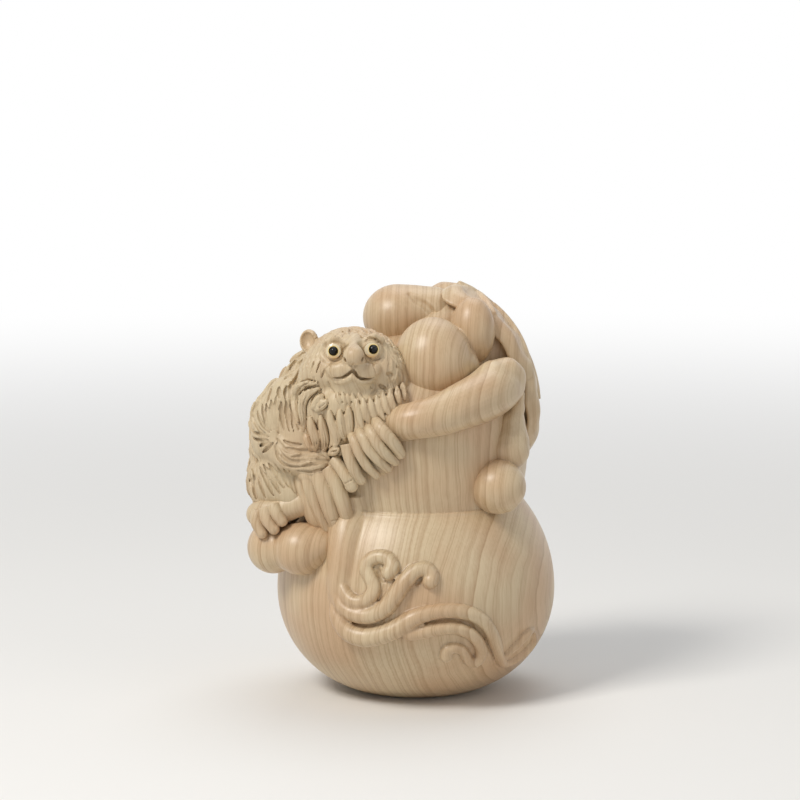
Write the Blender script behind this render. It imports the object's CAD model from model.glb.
import math

import bpy
import numpy as np
import openvdb as vdb
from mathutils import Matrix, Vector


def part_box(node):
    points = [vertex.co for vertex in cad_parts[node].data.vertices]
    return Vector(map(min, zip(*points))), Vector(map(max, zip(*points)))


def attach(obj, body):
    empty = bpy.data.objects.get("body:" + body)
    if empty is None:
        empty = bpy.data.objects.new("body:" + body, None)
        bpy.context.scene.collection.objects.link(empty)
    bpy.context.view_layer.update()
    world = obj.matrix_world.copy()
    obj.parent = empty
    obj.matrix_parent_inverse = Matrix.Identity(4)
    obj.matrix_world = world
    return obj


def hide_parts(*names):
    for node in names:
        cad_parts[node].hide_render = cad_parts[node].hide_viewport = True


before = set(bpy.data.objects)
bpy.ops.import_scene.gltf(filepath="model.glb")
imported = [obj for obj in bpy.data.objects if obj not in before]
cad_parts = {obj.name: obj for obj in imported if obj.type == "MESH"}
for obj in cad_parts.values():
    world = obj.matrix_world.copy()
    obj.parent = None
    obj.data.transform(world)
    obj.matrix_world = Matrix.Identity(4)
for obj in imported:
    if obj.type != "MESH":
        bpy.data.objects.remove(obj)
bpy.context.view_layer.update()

mm = 0.001                    # the carving below is in millimetres, the finished meshes in metres
carvedNode = "boxwood_carving"


# camera: a long lens, a little above the table

photo = {
    "side": 800,              # pixels
    "pixel": 0.16,            # mm on the object, at the target
    "tilt": math.radians(8),
    "distance": 550.0,
    "target": (-2.56, 0.0, 46.7),
    "sensor": 36.0,
    "clip": (0.05, 20.0),     # metres
}
viewAhead = np.array([0, math.cos(photo["tilt"]), -math.sin(photo["tilt"])])
viewUp = np.array([0, math.sin(photo["tilt"]), math.cos(photo["tilt"])])
viewRight = np.array([1.0, 0, 0])
eyePoint = np.array(photo["target"]) - viewAhead * photo["distance"]


def setCamera():
    cam = bpy.data.cameras.new("photoCamera")
    cam.sensor_width = photo["sensor"]
    cam.lens = photo["sensor"] * photo["distance"] / (photo["side"] * photo["pixel"])
    cam.clip_start, cam.clip_end = photo["clip"]
    rig = bpy.data.objects.new("photoCamera", cam)
    bpy.context.scene.collection.objects.link(rig)
    rig.location = tuple(eyePoint * mm)
    rig.rotation_euler = (math.pi / 2 - photo["tilt"], 0, 0)
    bpy.context.scene.camera = rig


def raysThrough(pixels):      # unit directions from the camera through pixels of the photograph
    across = np.atleast_2d(np.asarray(pixels, float)) - photo["side"] / 2
    onPlane = np.outer(across[:, 0], viewRight) - np.outer(across[:, 1], viewUp)
    rays = viewAhead * photo["distance"] + photo["pixel"] * onPlane
    return rays / np.linalg.norm(rays, axis=1)[:, None]


def atDepth(px, py, y):       # the point behind a pixel, y mm behind the gourd's axis
    ray = raysThrough((px, py))[0]
    return eyePoint + ray * (y - eyePoint[1]) / ray[1]


def placed(rows):             # (px, py, y, radius) rows as (x, y, z, radius)
    return [(*atDepth(px, py, y), radius) for px, py, y, radius in rows]


setCamera()


# materials

class Wire:                   # a socket that works in sums and products
    def __init__(self, nodes, socket):
        self.nodes = nodes
        self.socket = socket

    def math(self, kind, *others):
        return self.nodes.add("ShaderNodeMath", {"operation": kind}, [self, *others])

    def __add__(self, other):
        return self.math("ADD", other)

    def __radd__(self, other):
        return self.math("ADD", other)

    def __sub__(self, other):
        return self.math("SUBTRACT", other)

    def __rsub__(self, other):
        return self * -1 + other

    def __mul__(self, other):
        return self.math("MULTIPLY", other)

    def __rmul__(self, other):
        return self.math("MULTIPLY", other)

    def __truediv__(self, other):
        return self.math("DIVIDE", other)

    def clamp(self):
        return self.math("MAXIMUM", 0.0).math("MINIMUM", 1.0)

    def ramp(self, low, high):        # 0 at low, 1 at high and eased between
        limits = {"Value": self, "From Min": low, "From Max": high}
        return self.nodes.add("ShaderNodeMapRange", {"interpolation_type": "SMOOTHSTEP"}, limits)


class Nodes:                  # the tree of a material or of the world
    def __init__(self, owner):
        self.owner = owner
        owner.use_nodes = True
        self.tree = owner.node_tree
        self.tree.nodes.clear()

    def add(self, kind, settings=None, inputs=None, output=0):
        node = self.tree.nodes.new(kind)
        for key, value in (settings or {}).items():
            setattr(node, key, value)
        pairs = inputs.items() if isinstance(inputs, dict) else enumerate(inputs or [])
        for key, value in pairs:
            if isinstance(value, Wire):
                self.tree.links.new(value.socket, node.inputs[key])
            else:
                node.inputs[key].default_value = value
        return Wire(self, node.outputs[output]) if node.outputs else None

    def place(self):
        return self.add("ShaderNodeTexCoord", None, None, "Object")

    def vector(self, kind, first, second=None, output="Vector"):
        inputs = {0: first}
        if second is not None:
            inputs["Scale" if kind == "SCALE" else 1] = second
        return self.add("ShaderNodeVectorMath", {"operation": kind}, inputs, output)

    def noise(self, point, scale, detail, output=0):
        inputs = {"Vector": point, "Scale": scale, "Detail": detail}
        return self.add("ShaderNodeTexNoise", None, inputs, output)

    def mix(self, factor, first, second):     # colours
        return self.add("ShaderNodeMix", {"data_type": "RGBA"}, {0: factor, 6: first, 7: second}, 2)

    def seenDirectly(self):       # 1 for what the camera sees, also in gloss and through glass
        rays = ("Is Camera Ray", "Is Glossy Ray", "Is Transmission Ray")
        camera, glossy, glass = [self.add("ShaderNodeLightPath", None, None, ray) for ray in rays]
        return (camera + glossy + glass).clamp()

    def surface(self, inputs):
        return self.add("ShaderNodeBsdfPrincipled", None, inputs)

    def finish(self, shader):
        kind = "World" if isinstance(self.owner, bpy.types.World) else "Material"
        self.add("ShaderNodeOutput" + kind, None, {"Surface": shader})
        return self.owner


boxwood = {
    "heart": (-45.0, 4.0, 0.0),     # mm, the tree's middle: the rings are cylinders about it
    "lean": 0.08,                   # how much a ring leans with height
    "ring": 1.35,                   # mm between growth rings
    "wander": 1.6,                  # mm that the rings stray
    "wanderScale": 0.05,
    "fineScale": 3.4,               # fine lines between the rings
    "fibre": (3.2, 3.2, 0.22),      # the streaks run long down the trunk
    "cloudScale": 0.09,
    "speckScale": 5.5,
    "cream": (0.62, 0.495, 0.32, 1),
    "peach": (0.56, 0.385, 0.23, 1),
    "late": (0.33, 0.185, 0.08, 1),  # the dark line at the end of a ring
    "dust": (0.50, 0.43, 0.29, 1),
    "crevice": (0.15, 0.08, 0.035, 1),
    "ringDark": 0.64,
    "furFade": 0.30,                # rings show less through combed hair
    "fineDark": 0.30,
    "streakDark": 0.55,
    "dustShare": 0.35,
    "creviceDark": 0.9,
    "hollow": (0.38, 0.495),        # pointiness at which a crevice is darkest, and where it ends
    "roughness": 0.60,
    "polishGain": 0.2,              # how much polishing takes off the roughness
    "speckRough": 0.16,
    "bump": 0.22,
    "bumpDepth": 0.00008,           # metres
    "coat": 0.15,
    "coatRough": 0.3,
}


def woodMaterial(name, polish, fur):
    n = Nodes(bpy.data.materials.new(name))
    point = n.vector("SCALE", n.place(), 1 / mm)
    drift = n.noise(point, boxwood["wanderScale"], 3.0, "Color")
    drift = n.vector("SUBTRACT", drift, (0.5, 0.5, 0.5))
    drift = n.vector("SCALE", drift, 2 * boxwood["wander"])
    away = n.vector("SUBTRACT", n.vector("ADD", point, drift), boxwood["heart"])
    away = n.vector("MULTIPLY", away, (1.0, 1.0, boxwood["lean"]))
    reach = n.vector("LENGTH", away, output="Value")
    ring = reach / boxwood["ring"]
    along = ring.math("FRACT")
    chance = n.add("ShaderNodeTexWhiteNoise", {"noise_dimensions": "1D"}, {"W": ring.math("FLOOR")})
    edge = along.ramp(0.1, 0.95) * (1 - along.ramp(0.93, 1.0))      # darkens slowly, ends sharply
    fineLines = {"W": reach, "Scale": boxwood["fineScale"], "Detail": 3.0}
    fine = n.add("ShaderNodeTexNoise", {"noise_dimensions": "1D"}, fineLines)
    fibre = n.vector("MULTIPLY", point, boxwood["fibre"])
    streaks = {"Vector": fibre, "Scale": 1.0, "Detail": 3.0, "Roughness": 0.6}
    streak = n.add("ShaderNodeTexNoise", None, streaks)
    cloud = n.noise(point, boxwood["cloudScale"], 2.0)
    speck = n.noise(point, boxwood["speckScale"], 2.0)
    line = edge * (0.12 + chance * 0.6)
    dark = line * (boxwood["ringDark"] - boxwood["furFade"] * fur)
    dark = dark + fine.ramp(0.45, 0.75) * boxwood["fineDark"] + (streak - 0.5) * boxwood["streakDark"]
    tone = n.mix(cloud.ramp(0.32, 0.70), boxwood["cream"], boxwood["peach"])
    tone = n.mix(dark.clamp(), tone, boxwood["late"])
    if fur:
        tone = n.mix(boxwood["dustShare"] * fur, tone, boxwood["dust"])
    bend = n.add("ShaderNodeNewGeometry", None, None, "Pointiness")
    hollow = 1 - bend.ramp(*boxwood["hollow"])
    tone = n.mix(hollow * boxwood["creviceDark"], tone, boxwood["crevice"])
    rough = (boxwood["roughness"] - boxwood["polishGain"] * polish) + (speck - 0.5) * boxwood["speckRough"]
    grain = streak * 0.6 + speck * (0.5 + 0.8 * fur)
    bump = {"Strength": boxwood["bump"], "Distance": boxwood["bumpDepth"], "Height": grain}
    return n.finish(n.surface({
        "Base Color": tone, "Roughness": rough, "Normal": n.add("ShaderNodeBump", None, bump),
        "Coat Weight": boxwood["coat"] * polish, "Coat Roughness": boxwood["coatRough"]}))


smoothWood = woodMaterial("smoothBoxwood", 1.0, 0.0)
furWood = woodMaterial("combedBoxwood", 0.4, 1.0)
skinWood = woodMaterial("handledBoxwood", 0.8, 0.45)
print("materials made")


# clay: a block of distances that shapes are joined to and cut from, then skinned once

farAway = 4.0                 # mm, the distance that empty clay holds
shapeRoom = 1.5               # mm looked at around a shape


class Clay:
    def __init__(self, low, high, voxel):
        self.low, self.voxel = np.array(low, float), voxel
        counts = np.ceil((np.array(high, float) - self.low) / voxel).astype(int) + 1
        self.field = np.full(counts, farAway, np.float32)

    def window(self, low, high):
        first = np.floor((np.asarray(low) - self.low) / self.voxel).astype(int)
        last = np.ceil((np.asarray(high) - self.low) / self.voxel).astype(int) + 1
        first, last = (np.clip(edge, 0, self.field.shape) for edge in (first, last))
        steps = [np.arange(a, b) for a, b in zip(first, last)]
        axes = [(start + self.voxel * step).astype(np.float32) for start, step in zip(self.low, steps)]
        slices = tuple(slice(a, b) for a, b in zip(first, last))
        return slices, axes[0][:, None, None], axes[1][None, :, None], axes[2][None, None, :]

    def blendIn(self, slices, distance, blend, cut):
        old = -self.field[slices] if cut else self.field[slices]
        new = np.broadcast_to(distance, old.shape)
        soft = np.maximum(blend - np.abs(old - new), 0)
        best = np.minimum(old, new) - soft * soft / (4 * max(blend, 0.001))
        self.field[slices] = -best if cut else best

    def shape(self, shape, blend=0.0, cut=False):
        low, high, distance = shape
        slices, x, y, z = self.window(low - shapeRoom - blend, high + shapeRoom + blend)
        if all(s.stop > s.start for s in slices):
            self.blendIn(slices, distance(x, y, z), blend, cut)

    def chain(self, places, blend):           # rods from each place to the next
        for a, b in zip(places, places[1:]):
            self.shape(rod(a[:3], b[:3], a[3], b[3]), blend)

    def sweep(self, strands, sides, spacing, blend, cut=False):
        points, triangles = sweepStrands(strands, sides, spacing)
        width = max(3.0, blend / self.voxel + 2)      # in voxels
        scaled = ((points - self.low) / self.voxel).astype(np.float32)
        grid = vdb.FloatGrid.createLevelSetFromPolygons(
            scaled, triangles=triangles.astype(np.uint32), halfWidth=width)
        distance = np.full(self.field.shape, width, np.float32)
        grid.copyToArray(distance)
        everything = tuple(slice(0, n) for n in self.field.shape)
        self.blendIn(everything, distance * self.voxel, blend, cut)

    def at(self, points):     # trilinear reading
        where = (np.asarray(points) - self.low) / self.voxel
        where = np.clip(where, 0, np.array(self.field.shape) - 1.001)
        base = np.floor(where).astype(int)
        part = where - base
        total = np.zeros(len(where))
        for corner in range(8):
            offset = np.array([corner >> 2 & 1, corner >> 1 & 1, corner & 1])
            weight = np.prod(np.where(offset, part, 1 - part), axis=1)
            i, j, k = (base + offset).T
            total += weight * self.field[i, j, k]
        return total

    def outward(self, points):
        reach = 1.5 * self.voxel
        steps = reach * np.eye(3)
        slope = np.stack([self.at(points + step) - self.at(points - step) for step in steps], 1)
        return slope / np.maximum(np.linalg.norm(slope, axis=1), 1e-6)[:, None]

    def seen(self, pixels, lift=0.0):    # where the camera's rays first meet the clay
        rays = raysThrough(pixels)
        start = (self.low[1] - eyePoint[1]) / rays[:, 1]
        steps = np.arange(0, self.field.shape[1] * self.voxel, self.voxel / 2)
        hits = []
        for ray, first in zip(rays, start):
            line = eyePoint + ray * (first + steps)[:, None]
            values = self.at(line)
            inside = np.nonzero(values < 0)[0]
            best = inside[0] if len(inside) else int(np.argmin(values))
            hits.append(line[best])
        hits = np.array(hits)
        return hits + self.outward(hits) * lift if lift else hits

    def skin(self, name, material):
        grid = vdb.FloatGrid(farAway)
        grid.copyFromArray(np.ascontiguousarray(self.field))
        points, quads = grid.convertToQuads(0.0)
        carvedPiece(name, (points * self.voxel + self.low) * mm, quads, material)


def carvedPiece(name, points, quads, material):
    mesh = bpy.data.meshes.new(name)
    quads = np.asarray(quads, np.int32)
    a, b, c, d = (points[quads[:, i]] for i in range(4))
    volume = (a * np.cross(b, c)).sum() + (a * np.cross(c, d)).sum()
    if volume < 0:            # faces must point out
        quads = quads[:, ::-1]
    mesh.vertices.add(len(points))
    mesh.vertices.foreach_set("co", np.asarray(points, np.float32).ravel())
    mesh.loops.add(quads.size)
    mesh.loops.foreach_set("vertex_index", quads.ravel())
    mesh.polygons.add(len(quads))
    mesh.polygons.foreach_set("loop_start", np.arange(0, quads.size, 4, dtype=np.int32))
    mesh.update(calc_edges=True)
    mesh.shade_smooth()
    mesh.materials.append(material)
    piece = bpy.data.objects.new(name, mesh)
    bpy.context.scene.collection.objects.link(piece)
    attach(piece, "root")
    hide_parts(carvedNode)
    print(name, 2 * len(quads), "triangles")


def egg(centre, radii, turn=None):
    centre, radii = np.asarray(centre, float), np.broadcast_to(np.asarray(radii, float), 3)
    turn = np.eye(3) if turn is None else turn       # rows are the egg's own axes
    reach = np.sqrt(((turn * radii[:, None]) ** 2).sum(0))

    def distance(x, y, z):
        dx, dy, dz = x - centre[0], y - centre[1], z - centre[2]
        parts = [(row[0] * dx + row[1] * dy + row[2] * dz) for row in turn]
        near = np.sqrt(sum((part / r) ** 2 for part, r in zip(parts, radii)))
        slope = np.sqrt(sum((part / r ** 2) ** 2 for part, r in zip(parts, radii)))
        return (near * (near - 1) / np.maximum(slope, 1e-3)).astype(np.float32)
    return centre - reach, centre + reach, distance


def rod(a, b, ra, rb):
    a, b = np.asarray(a, float), np.asarray(b, float)
    big = max(ra, rb)
    run = b - a
    size = float(run @ run)

    def distance(x, y, z):
        dx, dy, dz = x - a[0], y - a[1], z - a[2]
        t = np.clip((dx * run[0] + dy * run[1] + dz * run[2]) / size, 0, 1)
        gap = np.sqrt((dx - t * run[0]) ** 2 + (dy - t * run[1]) ** 2 + (dz - t * run[2]) ** 2)
        return (gap - (ra + (rb - ra) * t)).astype(np.float32)
    return np.minimum(a, b) - big, np.maximum(a, b) + big, distance


def facing(ahead, upward=(0, 0, 1)):     # rows: right, up, ahead
    ahead = np.asarray(ahead, float) / np.linalg.norm(ahead)
    right = np.cross(ahead, upward)
    right /= np.linalg.norm(right)
    return np.array([right, np.cross(right, ahead), ahead])


# strands: locks, tendrils and veins follow paths, swept by one Geometry Nodes tree

def strandTree():
    tree = bpy.data.node_groups.new("carvedStrands", "GeometryNodeTree")
    io = tree.interface
    io.new_socket("Geometry", in_out="INPUT", socket_type="NodeSocketGeometry")
    for label, kind in (("Sides", "Int"), ("Spacing", "Float"), ("Wood", "Material")):
        io.new_socket(label, in_out="INPUT", socket_type="NodeSocket" + kind)
    io.new_socket("Geometry", in_out="OUTPUT", socket_type="NodeSocketGeometry")
    node = tree.nodes.new
    entry, out = node("NodeGroupInput"), node("NodeGroupOutput")
    curve = node("GeometryNodeMeshToCurve")
    spline = node("GeometryNodeCurveSplineType")
    spline.spline_type = "CATMULL_ROM"
    resample = node("GeometryNodeResampleCurve")
    resample.mode = "LENGTH"
    thick = node("GeometryNodeInputNamedAttribute")
    thick.data_type = "FLOAT"
    thick.inputs["Name"].default_value = "thick"
    profile = node("GeometryNodeCurvePrimitiveCircle")
    profile.inputs["Radius"].default_value = 1.0
    sweep = node("GeometryNodeCurveToMesh")
    sweep.inputs["Fill Caps"].default_value = True
    realize = node("GeometryNodeRealizeInstances")
    paint = node("GeometryNodeSetMaterial")
    for start, label, end, socket in (
            (entry, "Geometry", curve, "Mesh"), (curve, "Curve", spline, "Curve"),
            (spline, "Curve", resample, "Curve"), (entry, "Spacing", resample, "Length"),
            (resample, "Curve", sweep, "Curve"), (entry, "Sides", profile, "Resolution"),
            (profile, "Curve", sweep, "Profile Curve"), (thick, "Attribute", sweep, "Scale"),
            (sweep, "Mesh", realize, "Geometry"), (realize, "Geometry", paint, "Geometry"),
            (entry, "Wood", paint, "Material"), (paint, "Geometry", out, "Geometry")):
        tree.links.new(start.outputs[label], end.inputs[socket])
    return tree


carvedStrands = strandTree()


def sweepStrands(strands, sides, spacing):     # strands are pairs of points and radii
    points = np.concatenate([np.asarray(path, float) for path, _ in strands])
    radii = np.concatenate([np.asarray(radius, float) for _, radius in strands])
    edges, count = [], 0
    for path, _ in strands:
        edges += [(count + i, count + i + 1) for i in range(len(path) - 1)]
        count += len(path)
    guide = bpy.data.meshes.new("strandGuides")
    guide.from_pydata(points.tolist(), edges, [])
    guide.attributes.new("thick", "FLOAT", "POINT").data.foreach_set("value", radii.astype(np.float32))
    holder = bpy.data.objects.new("strandGuides", guide)
    bpy.context.scene.collection.objects.link(holder)
    modifier = holder.modifiers.new("strands", "NODES")
    modifier.node_group = carvedStrands
    sockets = carvedStrands.interface.items_tree
    names = {item.name: item.identifier for item in sockets if item.in_out == "INPUT"}
    modifier[names["Sides"]] = sides
    modifier[names["Spacing"]] = spacing
    modifier[names["Wood"]] = smoothWood
    graph = bpy.context.evaluated_depsgraph_get()
    swept = bpy.data.meshes.new_from_object(holder.evaluated_get(graph))
    bpy.data.objects.remove(holder)
    bpy.data.meshes.remove(guide)
    verts = np.zeros(len(swept.vertices) * 3, np.float32)
    swept.vertices.foreach_get("co", verts)
    swept.calc_loop_triangles()
    triangles = np.zeros(len(swept.loop_triangles) * 3, np.int32)
    swept.loop_triangles.foreach_get("vertices", triangles)
    bpy.data.meshes.remove(swept)
    return verts.reshape(-1, 3), triangles.reshape(-1, 3)


lock = {                      # shares of a lock's length
    "rootEnds": 0.35,
    "tipStarts": 0.55, "tipLasts": 0.45,
}
roundEnd = 1.03               # a strand's round end is this much wider than the strand


def tapered(count, radius, root, tip):   # a lock's radii from root to tip
    t = np.linspace(0, 1, count)
    swell = root + (1 - root) * np.sin(np.minimum(t / lock["rootEnds"], 1) * math.pi / 2)
    fade = np.clip((t - lock["tipStarts"]) / lock["tipLasts"], 0, 1)
    return radius * swell * (1 - (1 - tip) * fade ** 2)


def lengthened(points, step):            # the same path with evenly spaced points
    points = np.asarray(points, float)
    run = np.concatenate([[0], np.cumsum(np.linalg.norm(np.diff(points, axis=0), axis=1))])
    spots = np.linspace(0, run[-1], max(4, int(run[-1] / step) + 1))
    return np.stack([np.interp(spots, run, column) for column in points.T], 1)


def smoothed(points, rounds):
    points = np.array(points, float)
    for _ in range(rounds):
        points[1:-1] = (points[:-2] + 2 * points[1:-1] + points[2:]) / 4
    return points


# the big gourd

gourd = {                     # mm
    "belly": 22.3, "waist": 16.8, "waistHeight": 31.2, "lobe": 17.9, "lobeHeight": 40.0,
    "foot": 8.4,              # what is wider than this is belly, not foot
    "voxel": 0.24,
}


def bellyOutline():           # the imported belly's own outline, read on its plain back right quarter
    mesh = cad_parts[carvedNode].data
    verts = np.zeros(len(mesh.vertices) * 3, np.float32)
    mesh.vertices.foreach_get("co", verts)
    x, y, z = verts.reshape(-1, 3).T / mm
    reach = np.hypot(x, y)
    plain = (x > 0.5) & (y > 0.5) & (z < gourd["waistHeight"] - 0.1) & (z >= 0) & (reach > gourd["foot"])
    heights, order = np.unique(np.round(z[plain], 2), return_inverse=True)
    widest = np.zeros(len(heights))
    np.maximum.at(widest, order, reach[plain])
    return heights, widest


def gourdOutline():           # radius at each height, from the foot to the top
    low, wide = bellyOutline()
    z = np.arange(0, gourd["lobeHeight"] + gourd["lobe"], 0.05)
    height = gourd["lobeHeight"] - gourd["waistHeight"]
    slack = gourd["lobe"] - gourd["waist"]
    flank = (height ** 2 + slack ** 2) / (2 * slack)
    below = np.interp(z, low, wide)
    neck = gourd["lobe"] - flank + np.sqrt(flank ** 2 - (z - gourd["lobeHeight"]) ** 2)
    above = np.sqrt(np.maximum(gourd["lobe"] ** 2 - (z - gourd["lobeHeight"]) ** 2, 0))
    radius = np.where(z < gourd["waistHeight"], below, np.where(z < gourd["lobeHeight"], neck, above))
    return z, radius


outlineHeights, outlineRadii = gourdOutline()


def gourdShape():
    slope = np.gradient(outlineRadii, outlineHeights)
    lean = 1 / np.sqrt(1 + np.clip(slope, -8, 8) ** 2)
    lean = np.convolve(np.pad(lean, 6, "edge"), np.ones(13) / 13, "valid")
    low = np.array([-gourd["belly"], -gourd["belly"], 0.0])
    high = np.array([gourd["belly"], gourd["belly"], gourd["lobeHeight"] + gourd["lobe"]])

    def distance(x, y, z):
        reach = np.sqrt(x * x + y * y)
        flat = z[0, 0]
        side = reach - np.interp(flat, outlineHeights, outlineRadii).astype(np.float32)
        side = side * np.interp(flat, outlineHeights, lean).astype(np.float32)
        ball = np.sqrt(reach ** 2 + (z - gourd["lobeHeight"]) ** 2) - gourd["lobe"]
        body = np.where(z > gourd["lobeHeight"], ball, side)
        return np.maximum(body, -z).astype(np.float32)
    return low, high, distance


tendrils = {                  # (px, py, radius in mm) of each band as the photograph shows it
    "root": [(349, 492, 2.6), (347, 510, 3.2), (344, 530, 3.1), (341, 552, 2.7), (338.5, 574, 2.2),
        (337, 594, 1.7), (338, 608, 1.1)],
    "innerCurl": [(341, 580, 0.7), (344.5, 590, 1.0), (350, 598.5, 1.1), (357, 602, 1.1),
        (366, 600.5, 1.1), (373, 594, 1.1), (374.5, 585.5, 1.1), (370.5, 577, 1.1), (366.5, 568, 1.1),
        (370.5, 560.5, 1.1), (380.5, 557, 1.1), (389.5, 560.5, 1.1), (392.5, 567.5, 1.2), (389, 573, 1.2)],
    "outerCurl": [(337, 590, 0.8), (342, 604.5, 1.1), (354.5, 613.5, 1.25), (371, 615, 1.3),
        (385.5, 607.5, 1.35), (396, 594.5, 1.35), (406, 580.5, 1.3), (416, 571, 1.2), (426, 569.5, 1.15),
        (431.5, 575.5, 1.15), (430, 581, 1.2)],
    "wave": [(333, 603, 0.4), (336, 612, 1.0), (342, 623, 1.35), (351.5, 632, 1.55), (366, 636, 1.6),
        (383, 633.5, 1.55), (399.5, 626.5, 1.5), (413, 618, 1.35), (428, 613, 1.2), (444, 610.5, 1.15),
        (462, 611.5, 1.15), (477, 617, 1.1), (488, 628, 1.05), (495, 643, 1.0), (499, 657, 0.85),
        (502.5, 663, 0.7), (510, 661.5, 0.65), (519, 655.5, 0.7), (527, 648, 0.75), (532, 641, 0.7),
        (533.5, 634, 0.4)],
    "splitWave": [(404, 633, 1.1), (415, 632.5, 1.15), (426, 630.5, 1.1), (437.5, 628.3, 1.05),
        (452.5, 627.3, 1.0), (465.5, 630.5, 1.0), (475, 637.8, 0.98), (480.5, 647.5, 0.95),
        (479, 657, 0.9), (472.5, 662, 0.85), (467, 658, 0.8), (462, 650, 0.8), (454.5, 647, 0.85),
        (447, 649, 0.95), (445.5, 655, 1.0)],
    "waveLeaf": [(503, 659, 0.5), (508.5, 651.5, 0.6), (515.5, 644.5, 0.7), (522, 637, 0.75),
        (528, 631.5, 0.65), (532.5, 630, 0.35)],
}
tendrilProud = 0.25           # share of its radius that a band's middle stands off the belly
rootProud = -0.35             # the thick root lies deeper
tendrilCuts = [               # (pixels, radius in mm) of the shadow lines beside the bands
    ([(331.5, 602), (336, 610.5), (346, 619), (361, 624), (375, 623.5), (390, 617.5)], 0.34),
    ([(414, 630), (426, 622.3), (444, 618), (457.5, 619), (472.5, 626.3), (482.5, 637.5), (490, 649),
      (496.5, 661.5)], 0.34),
    ([(352, 607.5), (361, 608), (370, 605)], 0.26), ([(415, 586), (420, 579.5), (424.5, 577.5)], 0.42),
    ([(377, 566.5), (380.5, 575), (385.5, 582.5)], 0.45),
    ([(505, 656.5), (512, 651.5), (520, 643.5), (527, 637.5)], 0.62),
]


def tendrilStrands(clay):
    strands = []
    for name, rows in tendrils.items():
        lift = rootProud if name == "root" else tendrilProud
        points = clay.seen([row[:2] for row in rows])
        radii = np.array([row[2] for row in rows])
        strands.append((points + clay.outward(points) * (lift * radii)[:, None], radii))
    return strands


def makeGourd():
    clay = Clay((-23.5, -24.6, -0.9), (23.5, 23.5, 59.0), gourd["voxel"])
    clay.shape(gourdShape())
    root, *bands = tendrilStrands(clay)
    cuts = []
    for run, radius in tendrilCuts:
        line = clay.seen(lengthened(run, 2.0))
        cuts.append((line, tapered(len(line), radius, 0.3, 0.3)))
    clay.sweep([root], 24, 0.5, 0.6)
    clay.sweep(bands, 20, 0.25, 0.1)
    for path, radii in bands:
        clay.shape(egg(path[-1], radii[-1] * roundEnd), 0.1)
    clay.sweep(cuts, 12, 0.25, 0.1, cut=True)
    clay.skin("bigGourd", smoothWood)


vine = {                      # (px, py, y, radius) from under the beard to the leaf
    "path": [(382, 427, -13.4, 2.3), (396, 424, -16.9, 2.75), (415, 420.5, -18.6, 2.95),
        (440, 415, -18.0, 3.25), (462, 406, -16.2, 3.65), (480, 398, -13.6, 3.95),
        (492, 390.5, -11.0, 4.1), (500, 384, -8.0, 3.9), (503, 380, -4.5, 3.4)],
    "flap": [(493, 373, -11.0, 1.9), (507, 371, -9.4, 1.75), (513.5, 376, -8.8, 1.5), (514, 388, -8.6, 1.2)],
}


def makeVine():
    clay = Clay((-12, -25, 36), (24, 2, 62), 0.16)
    rows = placed(vine["path"])
    clay.sweep([([row[:3] for row in rows], [row[3] for row in rows])], 32, 0.5, 0.3)
    clay.chain(placed(vine["flap"]), 1.2)
    clay.skin("thickVine", smoothWood)


# small gourds

fruit = {                     # eggs as (x, y, z), half sizes and the way they point
    "top": [((-3.0, 2.0, 59.9), (5.5, 5.3, 5.2), None), ((2.6, 1.9, 60.5), (4.7, 4.4, 4.2), None),
            ((-0.2, 2.0, 60.9), (4.2, 4.4, 4.0), None)],
    "front": [((2.6, -9.2, 53.8), (6.2, 6.0, 7.3), None), ((6.0, -8.4, 53.4), (3.5, 3.3, 4.0),
        (1, 0.1, -0.2)), ((8.9, -4.4, 58.3), (3.6, 3.7, 5.4), None)],
    "hanging": [((14.5, -10.0, 40.2), (3.35, 3.4, 3.3), None), ((12.8, -13.0, 34.8), (4.4, 4.3, 4.3), None)],
    "perch": [((-18.0, -12.6, 24.9), (4.6, 4.6, 4.2), None), ((-15.4, -13.4, 25.6), (2.9, 3.2, 3.0), None),
              ((-22.6, -9.6, 24.6), (4.1, 4.2, 4.2), None)],
    "crease": [(409, 294), (416, 300), (424, 304), (431, 311), (437, 320)],
    "blend": {"top": 0.9, "front": 0.5, "hanging": 0.15, "perch": 0.7},
    "hangingNeck": [(521, 394, -8.0, 0.6), (517, 409, -8.6, 1.15), (512, 423, -9.2, 2.0),
        (511, 438, -9.8, 2.9)],
    "room": 2.5, "roomAbove": (2.5, 2.5, 7.0),     # mm of clay round the lobes
    "voxel": 0.16,
}


def makeFruits():
    for name, blend in fruit["blend"].items():
        lobes = fruit[name]
        low = np.min([np.subtract(c, r) for c, r, _ in lobes], axis=0) - fruit["room"]
        high = np.max([np.add(c, r) for c, r, _ in lobes], axis=0) + fruit["roomAbove"]
        clay = Clay(low, high, fruit["voxel"])
        for centre, radii, way in lobes:
            clay.shape(egg(centre, radii, facing(way) if way else None), blend)
        if name == "hanging":
            clay.chain(placed(fruit["hangingNeck"]), 0.4)
        if name == "top":
            line = clay.seen(lengthened(fruit["crease"], 2.0))
            clay.sweep([(line, tapered(len(line), 0.55, 0.3, 0.8))], 12, 0.3, 0.5, cut=True)
        clay.skin(name + "Gourd", smoothWood)


# leaf

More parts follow.
